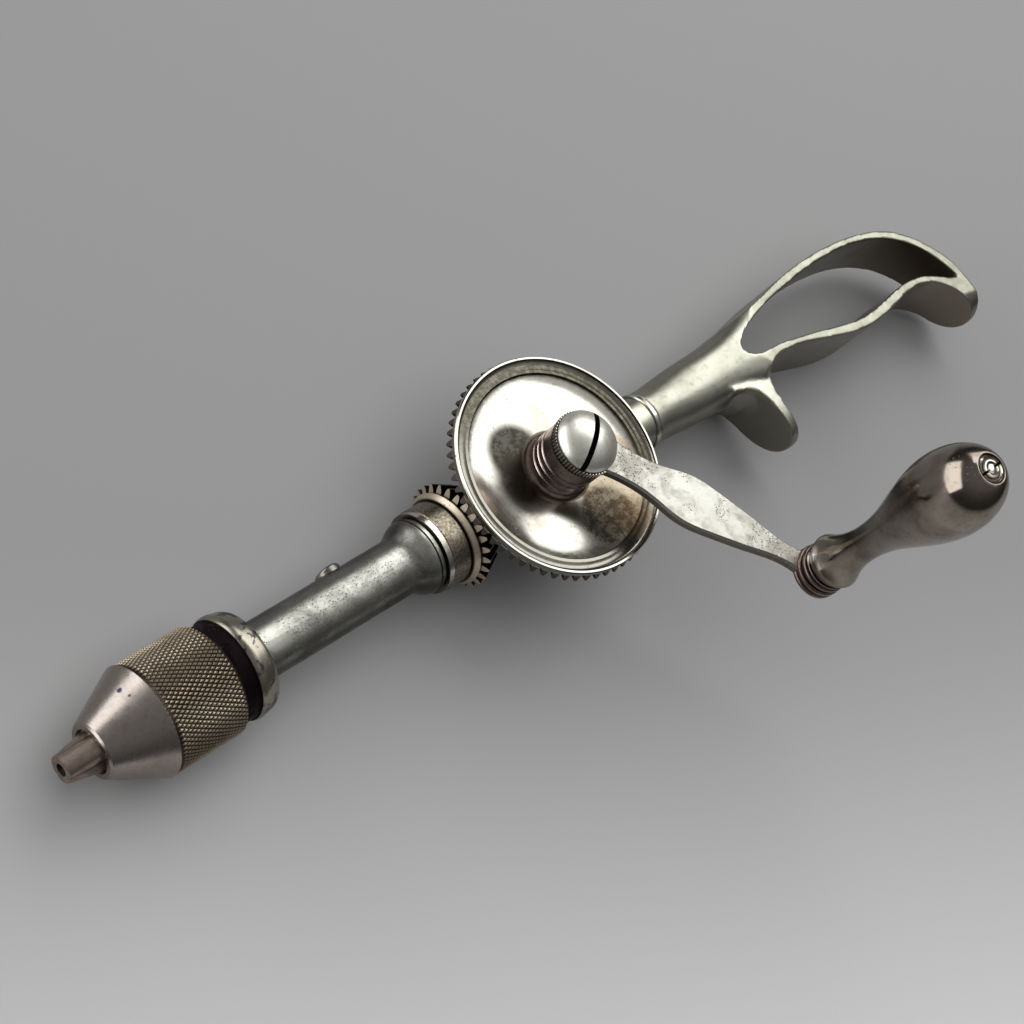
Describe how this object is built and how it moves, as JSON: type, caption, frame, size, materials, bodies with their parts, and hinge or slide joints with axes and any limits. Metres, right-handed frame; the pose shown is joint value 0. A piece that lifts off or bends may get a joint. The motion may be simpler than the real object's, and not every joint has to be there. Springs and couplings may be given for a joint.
{
  "type": "orthopedic hand drill",
  "caption": "Bevel-geared hand drill for bone surgery with a finger-loop handle, side crank with pear knob, free steadying tube and three-jaw chuck.",
  "frame": {"origin": "mouth of the bit socket: the point on the drilling axis in the plane of the jaw tips", "axes": "+X is the drilling direction, out of the chuck along the spindle; +Z runs along the gear axle from the frame to the crank side; +Y is the side of the finger hook. The drill lies on its back, crank up."},
  "size_m": [0.3308, 0.1023, 0.1138],
  "materials": {
    "nickel_cast": "polished worn nickel",
    "nickel_polished": "polished worn nickel",
    "nickel_satin": "satin pitted nickel",
    "gear_bronze": "worn, dull",
    "bush_bronze": "turned",
    "knurled_steel": "fine diamond knurl",
    "tool_steel": "ground, browned",
    "knob_metal": "polished, tarnished"
  },
  "bodies": {
    "frame": {"handle_casting": "nickel_cast", "neck_ring": "nickel_cast", "bearing_frame": "nickel_satin", "tang_pin": "tool_steel", "axle_bush": "bush_bronze", "axle_washer": "bush_bronze", "spindle_bush": "bush_bronze", "thrust_ball": "tool_steel", "pinion_washer": "bush_bronze"},
    "crank": {"drive_gear": "nickel_polished", "gear_hub": "nickel_polished", "gear_axle": "tool_steel", "crank_arm": "nickel_polished", "crank_screw": "nickel_polished", "rear_washer": "nickel_satin", "rear_screw": "nickel_satin", "knob_spindle": "tool_steel", "knob_washer": "nickel_polished", "knob_screw": "tool_steel"},
    "knob": {"crank_knob": "knob_metal"},
    "spindle": {"spindle_shaft": "tool_steel", "pinion_gear": "gear_bronze", "pinion_key": "tool_steel", "grip_washer": "nickel_satin", "chuck_washer": "tool_steel", "chuck_body": "nickel_satin", "chuck_collar": "nickel_polished"},
    "grip": {"grip_tube": "nickel_satin", "grip_rear_bush": "bush_bronze", "grip_front_bush": "bush_bronze", "grip_screw": "nickel_satin"},
    "sleeve": {"chuck_sleeve": "knurled_steel", "split_nut": "tool_steel"},
    "jaw_a": {"jaw_1": "tool_steel"},
    "jaw_b": {"jaw_2": "tool_steel"},
    "jaw_c": {"jaw_3": "tool_steel"}
  },
  "joints": [
    {"name": "crank_turn", "type": "hinge", "parent": "frame", "child": "crank", "pos_m": [-0.1506, 0, 0], "axis": [0, 0, 1], "continuous": true},
    {"name": "knob_turn", "type": "hinge", "parent": "crank", "child": "knob", "pos_m": [-0.1912, 0.0602, 0.03], "axis": [0, 0, 1], "continuous": true},
    {"name": "spindle_turn", "type": "hinge", "parent": "frame", "child": "spindle", "pos_m": [-0.1506, 0, 0], "axis": [1, 0, 0], "continuous": true},
    {"name": "grip_turn", "type": "hinge", "parent": "frame", "child": "grip", "pos_m": [-0.0806, 0, 0], "axis": [1, 0, 0], "continuous": true},
    {"name": "chuck_sleeve_turn", "type": "hinge", "parent": "spindle", "child": "sleeve", "pos_m": [-0.0326, 0, 0], "axis": [1, 0, 0], "range_deg": [0, 3240]},
    {"name": "jaw_1_slide", "type": "slide", "parent": "spindle", "child": "jaw_a", "axis": [-0.9781, 0, 0.2079], "range_m": [0, 0.0085]},
    {"name": "jaw_2_slide", "type": "slide", "parent": "spindle", "child": "jaw_b", "axis": [-0.9781, -0.1801, -0.104], "range_m": [0, 0.0085]},
    {"name": "jaw_3_slide", "type": "slide", "parent": "spindle", "child": "jaw_c", "axis": [-0.9781, 0.1801, -0.104], "range_m": [0, 0.0085]}
  ],
  "couplings": [
    {"joint": "spindle_turn", "follows": "crank_turn", "ratio": -2.2593},
    {"joint": "chuck_sleeve_turn", "follows": "jaw_1_slide", "rad_per_m": 6652.7},
    {"joint": "jaw_2_slide", "follows": "jaw_1_slide", "ratio": 1},
    {"joint": "jaw_3_slide", "follows": "jaw_1_slide", "ratio": 1}
  ]
}
